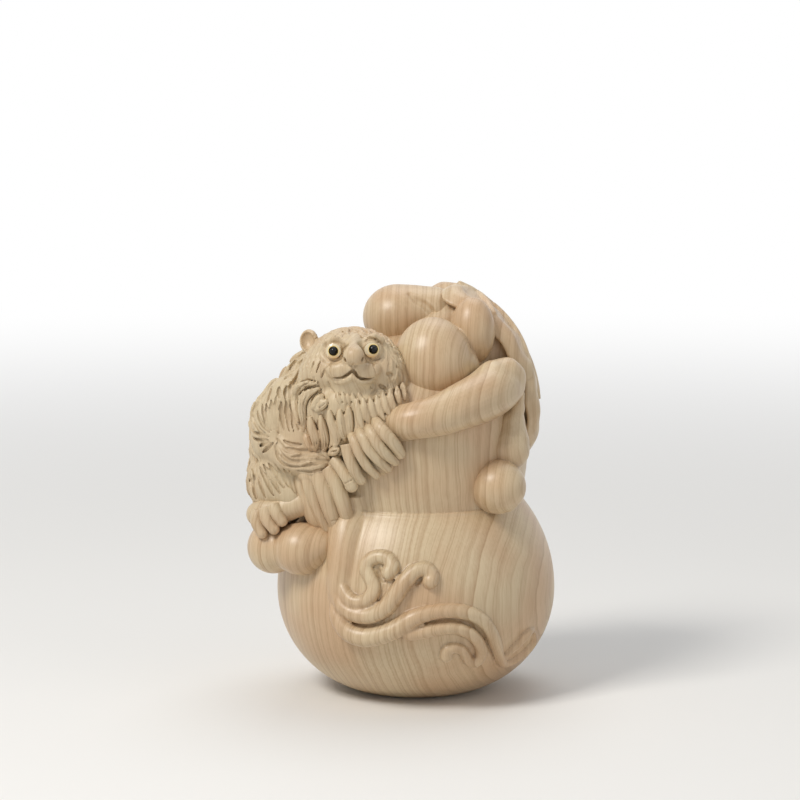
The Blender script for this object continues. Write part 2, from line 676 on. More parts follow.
leaf = {
    "centre": (0.2, 2.5, 45.0), "facing": (0.83, 0.26, 0.49), "down": (0.467, 0.146, -0.872),
    "radius": 21.0, "thickness": 1.5, "length": 31.0, "width": 22.0,
    "pad": 1.2,                   # mm from the rim to the wood that carries the leaf
    "squash": (1.08, 1.0, 1.0),   # the shell is flatter on its right
    "ripple": 0.22, "roll": 0.35, "rollWidth": 0.9,     # mm, the blade's waves and its thicker rim
    "corner": 0.5, "behind": 2,   # mm, the rim's rounding, and where the shell ends at the back
    "reach": 18, "cells": 240,    # mm each way, and cells, of the table of rim distances
    "notches": [(-.86, 0), (-.32, .86), (.42, .74), (.2, -.86), (-.6, -.82)],
    "tips": [(-.86, .72), (.12, 1), (1, -.05), (-.2, -1), (-.98, -.5)],
    "veins": [[(-14, 0), (-6, .3), (3, 0), (13, 0)], [(-11, 0), (-10.5, 4), (-9, 8.5)], [(-11, 0),
        (-10.5, -4), (-9, -8.5)], [(-8, 0), (-3.5, 4), (1.5, 9.8)], [(-8, 0), (-3.5, -4), (1.5, -9.8)],
        [(0, 0), (5, 3.5), (8.5, 6)], [(0, 0), (5, -3.5), (8.5, -6)]],
    "voxel": 0.16,
}


def arcThrough(a, b, c):       # points from a to c on the circle through b
    a, b, c = (np.asarray(p, float) for p in (a, b, c))
    turn = 2 * (a[0] * (b[1] - c[1]) + b[0] * (c[1] - a[1]) + c[0] * (a[1] - b[1]))
    sizes = [p @ p for p in (a, b, c)]
    centre = np.array([sizes[0] * (b[1] - c[1]) + sizes[1] * (c[1] - a[1]) + sizes[2] * (a[1] - b[1]),
                       sizes[0] * (c[0] - b[0]) + sizes[1] * (a[0] - c[0]) + sizes[2] * (b[0] - a[0])]) / turn
    start, middle, end = (math.atan2(*(p - centre)[::-1]) for p in (a, b, c))
    sweep = (end - start) % math.tau
    if (middle - start) % math.tau > sweep:
        sweep -= math.tau
    radius = np.linalg.norm(a - centre)
    angles = start + sweep * np.linspace(0, 1, 12)
    return centre + radius * np.stack([np.cos(angles), np.sin(angles)], 1)


def leafEdge():
    half = np.array([leaf["length"], leaf["width"]]) / 2
    edge = []
    for i, tip in enumerate(leaf["tips"]):
        start, end = leaf["notches"][i], leaf["notches"][(i + 1) % len(leaf["notches"])]
        edge.append(arcThrough(start * half, tip * half, end * half)[:-1])
    return np.concatenate(edge)


def outlineDistance(edge, a, b):         # signed distance in the leaf's own plane
    gap = np.full(a.shape, np.inf)
    inside = np.zeros(a.shape, bool)
    for (x0, y0), (x1, y1) in zip(edge, np.roll(edge, -1, axis=0)):
        dx, dy = x1 - x0, y1 - y0
        t = np.clip(((a - x0) * dx + (b - y0) * dy) / max(dx * dx + dy * dy, 1e-9), 0, 1)
        gap = np.minimum(gap, np.hypot(a - x0 - t * dx, b - y0 - t * dy))
        crosses = (y0 > b) != (y1 > b)
        inside ^= crosses & (a < dx * (b - y0) / (dy if dy else 1e-9) + x0)
    return np.where(inside, -gap, gap)


def makeLeaf():
    centre = np.array(leaf["centre"])
    ahead = np.array(leaf["facing"]) / np.linalg.norm(leaf["facing"])
    down = np.array(leaf["down"]) - ahead * (ahead @ np.array(leaf["down"]))
    down /= np.linalg.norm(down)
    side = np.cross(ahead, down)
    edge = leafEdge()
    clay = Clay((1, -15, 32), (24.5, 20, 68), leaf["voxel"])
    slices, x, y, z = clay.window(clay.low, clay.low + np.array(clay.field.shape) * clay.voxel)
    dx, dy, dz = x - centre[0], y - centre[1], z - centre[2]
    a = dx * down[0] + dy * down[1] + dz * down[2]
    b = dx * side[0] + dy * side[1] + dz * side[2]
    up = dx * ahead[0] + dy * ahead[1] + dz * ahead[2]
    squash = np.array(leaf["squash"])
    shell = np.sqrt((dx * squash[0]) ** 2 + (dy * squash[1]) ** 2 + (dz * squash[2]) ** 2) - leaf["radius"]
    shell = shell + leaf["thickness"] / 2
    ripple = leaf["ripple"] * np.sin(0.9 * a + 0.6 * np.sin(0.7 * b)) * np.cos(0.62 * b)
    reach, last = leaf["reach"], leaf["cells"] - 1
    near = np.linspace(-reach, reach, leaf["cells"])
    table = outlineDistance(edge, *np.meshgrid(near, near, indexing="ij"))
    ia = np.clip((a + reach) / (2 * reach) * last, 0, last - 0.01)
    ib = np.clip((b + reach) / (2 * reach) * last, 0, last - 0.01)
    i, j = ia.astype(int), ib.astype(int)
    fa, fb = ia - i, ib - j
    rim = (table[i, j] * (1 - fa) * (1 - fb) + table[i + 1, j] * fa * (1 - fb)
           + table[i, j + 1] * (1 - fa) * fb + table[i + 1, j + 1] * fa * fb)
    wave = np.exp(-((rim + leaf["rollWidth"]) / leaf["rollWidth"]) ** 2)
    body = np.abs(shell - ripple) - (leaf["thickness"] / 2 + leaf["roll"] * wave)
    soft = leaf["corner"]
    corner = np.sqrt(np.maximum(body + soft, 0) ** 2 + np.maximum(rim + soft, 0) ** 2)
    back = leaf["behind"] - up
    field = np.maximum(np.maximum(np.maximum(body, rim), corner - soft), back)
    pad = np.maximum(np.maximum(shell, 0.7 * rim + leaf["pad"]), back)
    field = np.minimum(field, pad)
    clay.field[slices] = np.minimum(field, farAway).astype(np.float32)
    strands = []
    for run in leaf["veins"]:
        flat = smoothed(lengthened(run, 1.0), 1)
        rise = np.sqrt((leaf["radius"] + 0.1) ** 2 - (flat ** 2).sum(1))
        path = flat[:, :1] * down + flat[:, 1:] * side + rise[:, None] * ahead
        path = centre + path * ((leaf["radius"] + 0.1) / np.linalg.norm(path * squash, axis=1))[:, None]
        strands.append((path, np.linspace(0.75, 0.4, len(path))))
    clay.sweep(strands, 10, 0.3, 0.5)
    clay.skin("vineLeaf", smoothWood)


makeGourd()
makeVine()
makeFruits()
makeLeaf()
print("gourds, vine and leaf carved")


# monkey: plain masses first, then locks traced from the photograph, then combed hair

monkey = {                    # plain masses: rows of (x, y, z, radius), and eggs
    "torso": [(-13.6, -3.5, 52.2, 4.3), (-16.4, -5.5, 50.0, 4.6), (-19.3, -5.0, 45.2, 5.1),
              (-20.5, -5.0, 40.8, 5.4), (-22.0, -6.0, 34.5, 4.3), (-22.0, -7.0, 31.0, 3.7)],
    "nearArm": placed([(290, 399, -9.6, 3.7), (275, 420, -9.6, 3.5), (273, 440, -10.0, 3.2),
                       (292, 455, -12.6, 2.8), (316, 464, -14.4, 2.4)]),
    "chest": placed([(297, 415, -11.6, 2.0), (299, 428, -12.2, 2.3), (303, 438, -13.0, 2.2)]),
    "limbs": [((-22.0, -9.2, 35.2), (4.0, 4.5, 5.1)), ((-19.6, -11.2, 33.6), (3.4, 2.9, 3.4)),
              ((-19.0, 3.5, 35.0), (4.2, 4.6, 5.2)), ((-22.0, -1.5, 33.5), (4.4, 5.0, 4.2))],
    "tail": [(-22.6, 1.5, 30.6, 2.0), (-21.8, 6.0, 27.4, 1.8), (-19.4, 10.6, 25.2, 1.6),
             (-16.2, 14.6, 25.0, 1.35), (-13.0, 17.3, 27.0, 1.05)],
    "farLeg": [(-20.5, 7.0, 32.6, 2.8), (-20.5, 8.6, 30.4, 2.2)],
    "low": (-28.6, -18.5, 22.5), "high": (-5.5, 20.0, 61.8), "voxel": 0.155,
    "grooveShare": 0.85, "grooveSink": 0.35,     # of a traced lock's width
    "bare": 1.6,              # mm from the traced locks that other hair keeps off
}

combFlow = [                  # how the hair lies: a place and the way it runs
    ((-16.5, -10, 56), (-0.5, 0.2, -0.9)), ((-12, -6, 60), (-0.6, 0.8, -0.2)),
    ((-19, -6, 53), (-0.4, 0.2, -0.9)),
    ((-22, -9, 49), (-0.3, -0.2, -1.0)), ((-25, -6, 44), (0.1, 0.2, -1.0)),
    ((-24.5, -9, 42), (0.3, -0.5, -0.8)),
    ((-20, -13, 40), (0.8, -0.5, -0.4)), ((-26, -3, 39), (0.0, 0.3, -1.0)),
    ((-26, -8, 35), (0.2, -0.1, -1.0)),
    ((-22, -12, 35), (0.5, -0.3, -0.9)), ((-22, 4, 46), (0.2, 0.4, -0.9)),
    ((-22, 5, 36), (0.1, 0.5, -0.9)),
    ((-18, 8, 50), (0.5, 0.5, -0.8)), ((-26, -8, 30), (0.6, -0.5, -0.6)),
    ((-13, 2, 58), (0.2, 0.9, -0.4)),
]
traced = {                    # pixels of the photograph: width in mm and the run of each lock
    "shoulder": (0.82, [
        [(276, 396), (275, 410), (277, 426), (279, 434)], [(281, 401), (281, 416), (284, 431)],
        [(286, 400), (287, 416), (289, 432)], [(291, 399), (293, 414), (293, 432)],
        [(271, 399), (272, 416), (277, 431)], [(266, 403), (269, 419), (275, 431)],
        [(262, 403), (263, 414), (267, 424), (273, 432)], [(257, 410), (260, 423), (270, 433)],
        [(252, 415), (255, 427), (267, 435)], [(250, 427), (259, 436), (269, 437)],
        [(252, 437), (260, 442), (269, 440)], [(252, 447), (261, 446), (270, 442)],
        [(262, 453), (269, 448), (274, 442)]]),
    "forearm": (0.78, [
        [(277, 438), (280, 444), (284, 451), (291, 454), (298, 451)],
        [(276, 442), (279, 452), (286, 460), (295, 463), (306, 460), (317, 456)],
        [(275, 445), (276, 457), (283, 465), (292, 468), (303, 467)],
        [(283, 440), (288, 444), (296, 446), (303, 444)],
        [(287, 447), (294, 451), (301, 451), (310, 449), (319, 452)],
        [(291, 457), (299, 457), (309, 453), (319, 454), (327, 458)],
        [(300, 467), (310, 465), (320, 462), (329, 462)], [(297, 471), (307, 473), (317, 471), (328, 467)],
        [(304, 458), (314, 460), (324, 459), (334, 462)]]),
    "haunch": (0.95, [
        [(250, 479), (249, 492), (251, 505)], [(254, 474), (253, 487), (257, 500)],
        [(256, 470), (259, 480), (262, 490), (266, 499)], [(259, 466), (264, 475), (269, 486), (274, 497)],
        [(263, 464), (269, 472), (274, 482), (280, 494)], [(268, 463), (274, 470), (279, 479), (285, 489)],
        [(275, 464), (281, 472), (286, 480), (290, 488)], [(283, 467), (289, 476), (293, 486), (296, 495)],
        [(289, 470), (295, 478), (298, 488), (300, 500)]]),
    "neck": (0.95, [
        [(287, 385), (284, 392), (286, 400)], [(292, 381), (289, 390), (290, 400)],
        [(297, 379), (294, 392), (293, 407), (296, 420), (299, 430)], [(279, 386), (277, 391), (280, 399)],
        [(301, 371), (296, 380), (291, 386)], [(297, 364), (291, 371), (284, 380)],
        [(303, 352), (296, 362), (289, 370)], [(272, 386), (270, 393), (267, 402)]]),
}
beardLocks = (1.45, [[(318, 382.5), (307, 382), (298, 388.5), (295.5, 398), (296.5, 410), (299.5, 422)],
    [(320, 388), (308, 392.5), (302.5, 401), (303, 411), (305.5, 421), (305, 431)], [(324, 394.5),
    (317, 399.5), (312, 409)], [(328.5, 400), (322.5, 405), (315, 410.5)], [(310.5, 416), (311, 425),
    (315, 434), (318, 442), (315.5, 449.5)], [(306.5, 433), (309, 441), (312.5, 450)], [(320.5, 414.5),
    (322, 426), (326, 438), (326.5, 446), (322, 452)], [(330, 409), (331, 421), (335.5, 432),
    (339.5, 438.5), (338.5, 444.5), (334, 447)], [(340, 448), (334, 450), (329.5, 453.5)], [(339.5, 409),
    (340.5, 423), (343, 434), (345.5, 441)], [(348.5, 406), (349, 418), (351.5, 430), (351, 437)]])
sideLocks = (1.1, [[(357, 399), (358, 412), (361.5, 424), (364, 431)], [(363, 398), (364.5, 410),
    (368, 420), (370, 427)], [(369.5, 397), (371, 409), (375, 418), (378, 424)], [(376, 395),
    (377.5, 406), (381, 415), (385, 421)], [(382.5, 392), (384, 403), (387.5, 412), (391, 418)],
    [(389, 389), (390, 400), (393.5, 409), (396, 415)], [(395.5, 386), (396.5, 396), (399.5, 406)],
    [(401.5, 382), (402, 392), (404, 401)]])
faceStrokes = (0.4, [          # single knife strokes on the cheeks and the crown
    [(388, 374), (392, 377.5)], [(379.5, 385), (384, 388), (387.5, 391)], [(397, 364), (400, 377)],
    [(394, 381), (396, 393)], [(403, 370), (404, 384)], [(387, 379), (390, 391)], [(400, 386), (401, 396)],
    [(306, 356), (303, 368)], [(311, 354), (307, 368)], [(316, 356), (311, 372)], [(321, 360), (316, 374)],
    [(326, 367), (321, 379)], [(352, 326), (349, 335)], [(357, 330), (362, 339)], [(363, 327), (368, 335)],
    [(341, 328), (336, 336)], [(330, 332), (323, 341)], [(346, 328), (342, 337)], [(371, 329), (377, 335)],
    [(379, 332), (386, 341)], [(388, 338), (394, 349)], [(324, 334), (317, 345)], [(396, 349), (401, 361)]])
chinHairs = (0.7, [[(337, 392), (339, 399), (341, 405)], [(342, 392), (344, 399), (346, 405)],
    [(347, 393), (349, 400), (350, 405)], [(352, 393), (354, 400), (355, 405)], [(358, 392), (360, 398),
    (362, 402)]])


moat = 1.22                   # a lock's trench is this much wider than the lock


def tracedLocks(clay, width, runs, sink=-0.3):
    strands = []
    for run in runs:
        pixels = smoothed(lengthened(run, 4.0), 1)
        path = smoothed(clay.seen(pixels, -sink * width / 2), 3)
        strands.append((path, tapered(len(path), width / 2, 0.35, 0.3)))
    return strands


def laidOn(clay, strands):    # each lock lies in a trench of its own
    clay.sweep([(path, radii * moat) for path, radii in strands], 10, 0.35, 0.02, cut=True)
    clay.sweep(strands, 10, 0.35, 0.03)


def combed(clay, comb, keep):            # locks that start all over a mass and follow combFlow
    rng = np.random.default_rng(comb["seed"])
    near = np.argwhere(np.abs(clay.field) < clay.voxel * 0.6)
    near = near[rng.permutation(len(near))]
    points = clay.low + near * clay.voxel
    cells = np.floor(points / comb["spacing"]).astype(int)
    _, first = np.unique(cells, axis=0, return_index=True)
    roots = points[np.sort(first)]
    roots = roots[keep(roots)]
    places = np.array([place for place, _ in combFlow], float)
    ways = np.array([way for _, way in combFlow], float)
    path, spot = [], roots
    for step in range(comb["steps"]):
        normal = clay.outward(spot)
        spot = spot - normal * clay.at(spot)[:, None]
        path.append(spot - normal * comb["sink"] * comb["width"] / 2)
        gap = ((spot[:, None] - places) ** 2).sum(2)
        weight = 1 / (gap + 1.0) ** 2
        way = (weight[:, :, None] * ways).sum(1) / weight.sum(1)[:, None]
        way -= normal * (way * normal).sum(1)[:, None]
        way /= np.maximum(np.linalg.norm(way, axis=1), 1e-6)[:, None]
        side = np.cross(normal, way)
        swing = comb["swing"] * np.sin(spot @ np.array([0.55, 0.4, 0.9]) + step * 0.9)
        way = way + side * swing[:, None]
        spot = spot + way * comb["step"] / np.linalg.norm(way, axis=1)[:, None]
    paths = np.stack(path, 1)
    radii = tapered(comb["steps"], comb["width"] / 2, comb["root"], comb["tip"])
    return [(line, radii) for line in paths]


backHair = {"seed": 4, "spacing": 1.55, "steps": 9, "step": 0.7, "width": 1.15, "sink": -0.15, "swing": 0.45,
            "root": 0.35, "tip": 0.2}
fineHair = {"seed": 9, "spacing": 1.0, "steps": 10, "step": 0.55, "width": 0.6, "sink": 0.0, "swing": 0.3,
            "root": 0.3, "tip": 0.1}


def makeMonkeyBody():
    clay = Clay(monkey["low"], monkey["high"], monkey["voxel"])
    for name in ("torso", "nearArm", "chest"):
        clay.chain(monkey[name], 1.2)
    for centre, radii in monkey["limbs"]:
        clay.shape(egg(centre, radii), 0.8)
    for name in ("tail", "farLeg"):
        clay.chain(monkey[name], 0.6)
    frontal = [clay.seen(lengthened(run, 4.0)) for _, runs in traced.values() for run in runs]
    frontal = np.concatenate(frontal)

    def keepOff(points):
        gap = np.array([((frontal - p) ** 2).sum(1).min() for p in points])
        return gap > monkey["bare"] ** 2
    strands = combed(clay, backHair, keepOff)
    clay.sweep(strands, 8, 0.35, 0.04)
    grooves = []
    for width, runs in traced.values():
        grooves += tracedLocks(clay, width * monkey["grooveShare"], runs, monkey["grooveSink"])
    clay.sweep(grooves, 8, 0.3, 0.07, cut=True)
    lines = combed(clay, fineHair, keepOff)
    clay.sweep(lines, 5, 0.3, 0.05, cut=True)
    clay.skin("monkeyBody", furWood)
    print(len(strands), "locks and", len(lines), "hair lines on the body")


makeMonkeyBody()


# head

head = {
    "centre": (-10.1, -11.5, 54.3),
    "pitch": math.radians(15),
    "low": (-20.0, -23.5, 38.5), "high": (2.5, -3.0, 62.6), "voxel": 0.12,
    "masses": [               # (right, up, ahead) from the centre, and half sizes
        ((0.3, 0.0, 0), (7.5, 5.6, 6.4)), ((-3.9, -1.6, 1.8), (3.9, 3.6, 4.0)),
        ((4.3, -1.8, 1.6), (3.9, 3.9, 4.0)),
        ((6.6, -3.8, -1.0), (3.2, 4.8, 3.8)), ((-5.4, -4.0, -0.6), (3.4, 4.6, 3.8))],
}
face = {                      # (px, py, y) and half sizes in mm, from the skull outwards, and the blend
    "muzzle": ((353.5, 374, -16.2), (4.1, 3.3, 3.3), 1.0),
    "chin": ((353, 387, -16.6), (3.0, 1.7, 2.2), 0.7),
    "leftLip": ((342.5, 369.5, -18.2), (2.6, 1.75, 1.8), 0.4),
    "rightLip": ((364.5, 369.5, -18.0), (2.6, 1.75, 1.8), 0.4),
    "midLip": ((353.5, 366.5, -19.1), (1.7, 1.3, 1.3), 0.4),
    "noseTip": ((353.8, 356, -20.0), (1.65, 1.5, 1.55), 0.2),
    "leftWing": ((346.4, 360.2, -19.2), (0.85, 0.9, 0.95), 0.15),
    "rightWing": ((361.2, 359.4, -19.1), (0.85, 0.9, 0.95), 0.15),
}
bridge = placed([(353.5, 344, -15.6, 1.5), (354, 351, -18.5, 1.35)])
brow = [placed(arch) for arch in (
    [(321, 349, -15.3, 0.35), (327, 342, -16.5, 0.4), (335, 339.5, -17.0, 0.4), (343, 343, -17.1, 0.3)],
    [(368, 337.5, -16.3, 0.15), (374, 336, -16.1, 0.2), (381, 339.5, -15.6, 0.22),
     (387, 347, -14.7, 0.2)])]
headTurn = np.array([[1, 0, 0], [0, math.sin(head["pitch"]), math.cos(head["pitch"])],
                     [0, -math.cos(head["pitch"]), math.sin(head["pitch"])]])


def onHead(right, up, ahead):
    return np.array(head["centre"]) + np.array([right, up, ahead], float) @ headTurn


eyes = {                      # mm from the middle of the ring that is let in
    "orbit": (2.2, 1.98, 1.1), "ball": (1.9, 1.7, 1.5), "socket": (1.2, 1.2, 1.5),
    "orbitAhead": 1.15, "ballBehind": 1.05, "socketAhead": 0.9,
    "rim": 1.42, "rimWidth": 0.26, "rimBehind": 0.3,
    "lids": ((0.12, 0.88, 1.2), (1.15, 1.85, 1.27)),     # from and to in half turns, and the reach
    "lidWidth": 0.3, "lidAhead": 0.12,
}


def eyeSpots():
    for side in ("left", "right"):
        low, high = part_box(side + "_eye_ring")
        yield (np.array(low) + np.array(high)) / 2 / mm


def roundEye(spot, turn, reach, squash, angles):
    right, up, _ = turn
    return [spot + reach * (right * math.cos(t) + squash * up * math.sin(t)) for t in angles]


def eyeWork(clay):
    for spot in eyeSpots():
        look = np.array([0.1 * np.sign(spot[0] - head["centre"][0]), -1, 0.12])
        look /= np.linalg.norm(look)
        turn = facing(look)
        clay.shape(egg(spot + look * eyes["orbitAhead"], eyes["orbit"], turn), 1.0, cut=True)
        clay.shape(egg(spot - look * eyes["ballBehind"], eyes["ball"], turn), 0.4)
        angles = np.linspace(0, math.tau, 25)
        rim = roundEye(spot - look * eyes["rimBehind"], turn, eyes["rim"], 0.93, angles)
        clay.sweep([(rim, np.full(len(rim), eyes["rimWidth"]))], 10, 0.2, 0.2)
        clay.shape(egg(spot + look * eyes["socketAhead"], eyes["socket"], turn), 0.1, cut=True)
        for start, end, reach in eyes["lids"]:
            angles = np.linspace(start, end, 12) * math.pi
            lid = roundEye(spot + look * eyes["lidAhead"], turn, reach, 0.95, angles)
            clay.sweep([(lid, tapered(len(lid), eyes["lidWidth"], 0.5, 0.4))], 10, 0.2, 0.12)


creases = [                   # (pixels, radius in mm) of the lines cut in the face
    ([(349, 344), (343, 350), (336.5, 358.5), (331, 364), (324, 369.5)], 0.24),
    ([(331.5, 363), (330, 371), (331.5, 377)], 0.2),
    ([(360, 346), (367, 355), (372, 362.5), (375.5, 370), (376.5, 377)], 0.2),
    ([(324.5, 347.5), (329, 343.6), (334, 342.3), (340, 344.5)], 0.28),
    ([(364.5, 342), (370, 338.6), (376.5, 339.8), (382, 345)], 0.26),
    ([(324.5, 353), (327.5, 358.5), (333, 361.5), (339.5, 360)], 0.15),
    ([(317.5, 353), (321.5, 359.5), (327, 363.5)], 0.14),
    ([(366, 357), (372.5, 361), (380, 358.5), (383.5, 352)], 0.15),
    ([(387, 373.7), (394, 376.6)], 0.42), ([(379, 384.7), (387, 390.6)], 0.38),
    ([(372, 384), (374.5, 388)], 0.55),
    ([(328, 381), (330, 388), (335, 393)], 0.22), ([(376, 380), (375, 390), (370, 396)], 0.2),
    ([(347.5, 364), (351, 366.5), (356, 366.3), (360, 363.8)], 0.2),
]


mouth = {                     # pixels of the photograph
    "line": [(332, 378.2), (336.4, 378.6), (343, 377.6), (348, 374.6), (351.5, 371.8), (353.2, 370.6),
             (356.3, 375), (360.5, 378.5), (364.6, 379.5), (369.6, 379.2), (374.5, 378)],
    "lifts": (-0.8, -0.4, -0.05),                        # mm, one cut over the other
    "philtrum": [(353.5, 363), (353.3, 366), (353, 370.5)],
    "nostrils": ((346.3, 361.6, -0.4), (361.3, 361.0, 0.4)),     # and the way each leans
    "lip": [(334.5, 382), (341, 382.6), (347, 380.3), (352.7, 376), (358, 380), (364, 382.6),
            (372, 381.5)],
}


def faceCuts(clay):
    path = lengthened(mouth["line"], 1.5)
    t = np.linspace(0, 1, len(path))
    strands = []
    for lift in mouth["lifts"]:
        line = smoothed(clay.seen(path, lift), 1)
        strands.append((line, 0.16 + 0.12 * np.sin(math.pi * t) ** 0.6))
    strands.append((clay.seen(mouth["philtrum"], 0.05), [0.12, 0.2, 0.28]))
    for run, radius in creases:
        line = smoothed(clay.seen(lengthened(run, 2)), 1)
        strands.append((line, tapered(len(line), radius, 0.5, 0.4)))
    clay.sweep(strands, 10, 0.2, 0.08, cut=True)
    for px, py, lean in mouth["nostrils"]:
        spot = clay.seen([(px, py)])[0]
        clay.shape(rod(spot + (lean, -0.1, 0.3), spot + (0, 0.6, 0.2), 0.3, 0.42), 0.05, cut=True)


def lowerLip(clay):
    line = smoothed(clay.seen(lengthened(mouth["lip"], 2), -0.1), 2)
    t = np.linspace(0, 1, len(line))
    clay.sweep([(line, 0.25 + 0.35 * np.sin(math.pi * t))], 10, 0.2, 0.3)


ears = {                      # where, half sizes in mm, and the way each faces
    "near": (309.3, 341.5, -10.6), "shell": (1.6, 1.95, 1.1), "hollow": (1.15, 1.45, 0.95),
    "faces": (-0.45, -0.85, 0.25), "leans": (-0.35, 0, 1),
    "far": (6.0, 2.4, -3.4), "farShell": (1.2, 1.4, 1.0), "farFaces": (0.5, -0.8, 0.2),
}


def earWork(clay):
    ear = atDepth(*ears["near"])
    turn = facing(ears["faces"], ears["leans"])
    clay.shape(egg(ear, ears["shell"], turn), 0.35)
    clay.shape(egg(ear + turn[2] * 0.75, ears["hollow"], turn), 0.25, cut=True)
    clay.shape(egg(onHead(*ears["far"]), ears["farShell"], facing(ears["farFaces"])), 0.3)


beard = [                     # (x, y, z, radius) pairs of hanging masses
    [(-15.6, -14.3, 49.0, 2.8), (-15.0, -14.8, 42.8, 1.7)],
    [(-11.8, -15.7, 48.5, 2.9), (-12.0, -15.9, 41.8, 1.7)],
    [(-8.0, -16.3, 48.0, 2.9), (-8.6, -17.2, 42.6, 1.8)],
    [(-4.8, -15.7, 49.0, 2.6), (-5.0, -17.8, 43.6, 1.8)],
    [(-2.8, -14.8, 48.5, 1.9), (-2.8, -17.4, 44.6, 1.5)],
]
faceHair = {"seed": 3, "spacing": 0.7, "steps": 6, "step": 0.45, "width": 0.4, "sink": 0.0, "swing": 0.25,
            "root": 0.3, "tip": 0.1}


scoring = {"shortest": 2.6, "shifts": (-0.35, 0.3), "lift": 0.97, "width": 0.2}


def scoresOn(locks):          # two knife lines along each long lock
    scores = []
    for path, radii in locks:
        if np.linalg.norm(path[-1] - path[0]) < scoring["shortest"]:
            continue
        for shift in scoring["shifts"]:
            line = path + viewRight * shift * radii[:, None] - viewAhead * radii[:, None] * scoring["lift"]
            scores.append((line[1:-1], radii[1:-1] * scoring["width"]))
    return scores


def makeHead():
    clay = Clay(head["low"], head["high"], head["voxel"])
    for centre, radii in head["masses"]:
        clay.shape(egg(onHead(*centre), radii, headTurn), 1.6)
    for pair in beard:
        clay.chain(pair, 1.0)
    for (px, py, y), radii, blend in face.values():
        clay.shape(egg(atDepth(px, py, y), radii), blend)
    clay.chain(bridge, 0.9)
    for arch in brow:
        clay.chain(arch, 1.1)
    strokes = tracedLocks(clay, *faceStrokes, sink=0.3)
    locks = tracedLocks(clay, *beardLocks) + tracedLocks(clay, *sideLocks)
    locks += tracedLocks(clay, *chinHairs, sink=0.0)
    laidOn(clay, locks)
    clay.sweep(scoresOn(locks), 6, 0.3, 0.05, cut=True)
    clay.sweep(strokes, 6, 0.3, 0.05, cut=True)
    earWork(clay)
    eyeWork(clay)
    lowerLip(clay)
    faceCuts(clay)
    middle = np.array(head["centre"])

    def hairy(points):        # not on the face, the ear or the beard
        right, up, ahead = ((points - middle) @ headTurn.T).T
        bare = ((right / 5.6) ** 2 + ((up + 1.4) / 5.2) ** 2 < 1) & (ahead > 1)
        ear = (right < -6) & (up > 1.5)
        return ~bare & ~ear & (up > -5)
    lines = combed(clay, faceHair, hairy)
    clay.sweep(lines, 5, 0.3, 0.05, cut=True)
    clay.skin("monkeyHead", skinWood)
    print(len(lines), "hair lines on the head")


makeHead()


# hands

fingers = {                   # rows of (px, py, y, radius) from the knuckle to the nail
    "lower": [[(301, 473, -12.9, .9), (300, 484, -13.3, .88), (305, 499, -13.7, .82),
        (311, 512, -13.6, .75), (316.5, 523, -13.2, .65)], [(307, 472, -14.2, 1.15),
        (309, 484, -14.8, 1.1), (313.6, 500, -15.0, 1.0), (319.5, 514, -14.8, .9),
        (327, 529, -14.2, .75)], [(317, 470, -15.0, 1.35), (321, 482, -15.6, 1.32),
        (326.5, 500, -15.8, 1.26), (331.5, 514, -15.5, 1.2), (335.5, 524.5, -14.9, 1.0)],
        [(328, 468, -15.3, 1.4), (335.5, 480, -16.0, 1.34), (341.8, 500, -16.1, 1.28),
        (345.5, 512, -15.8, 1.15), (347.5, 519, -15.3, 1.0)]],
    "upper": [[(349, 431, -16.8, .7), (354, 440, -19.3, .82), (359, 453, -19.5, .85),
        (367, 466.5, -19.1, .8), (376.5, 475.5, -18.2, .62)], [(357, 427, -17.4, .7),
        (362.5, 436.5, -20.0, .85), (368.3, 449.5, -20.2, .86), (378, 460, -19.7, .82),
        (388, 469, -18.6, .65)], [(366, 424, -17.8, .7), (371.5, 433, -20.4, .86),
        (378.5, 445.5, -20.6, .9), (387, 455.5, -20.0, .86), (395.5, 462, -18.9, .65)],
        [(374, 418, -18.0, .8), (380, 428, -20.5, .95), (388, 436.5, -20.7, 1.05), (396, 446, -20.1, 1.0),
        (400.5, 454, -19.1, .8)]],
}
hands = {                     # palms as eggs, thumbs in rows as the fingers, nails in pixels
    "palms": [((-14.6, -13.0, 33.2), (3.6, 2.4, 5.6)), (atDepth(316, 474, -14.0), (3.0, 2.0, 1.9)),
              ((-5.8, -16.6, 39.8), (3.1, 1.8, 2.6))],
    "thumbs": [[(334, 459, -16.4, 1.0), (342, 469.5, -17.4, .95), (349, 480, -17.7, 1.0),
                (351.5, 486, -17.4, 1.0)],
               [(346.5, 444, -18.4, 1.0), (349, 457, -18.7, 1.0), (354.5, 470, -18.5, .95),
                (361, 480, -17.8, .8)]],
    "nails": [[(344.5, 484), (349, 481.8), (354, 478.8)], [(331, 521.5), (335.5, 520), (339, 519.5)]],
}
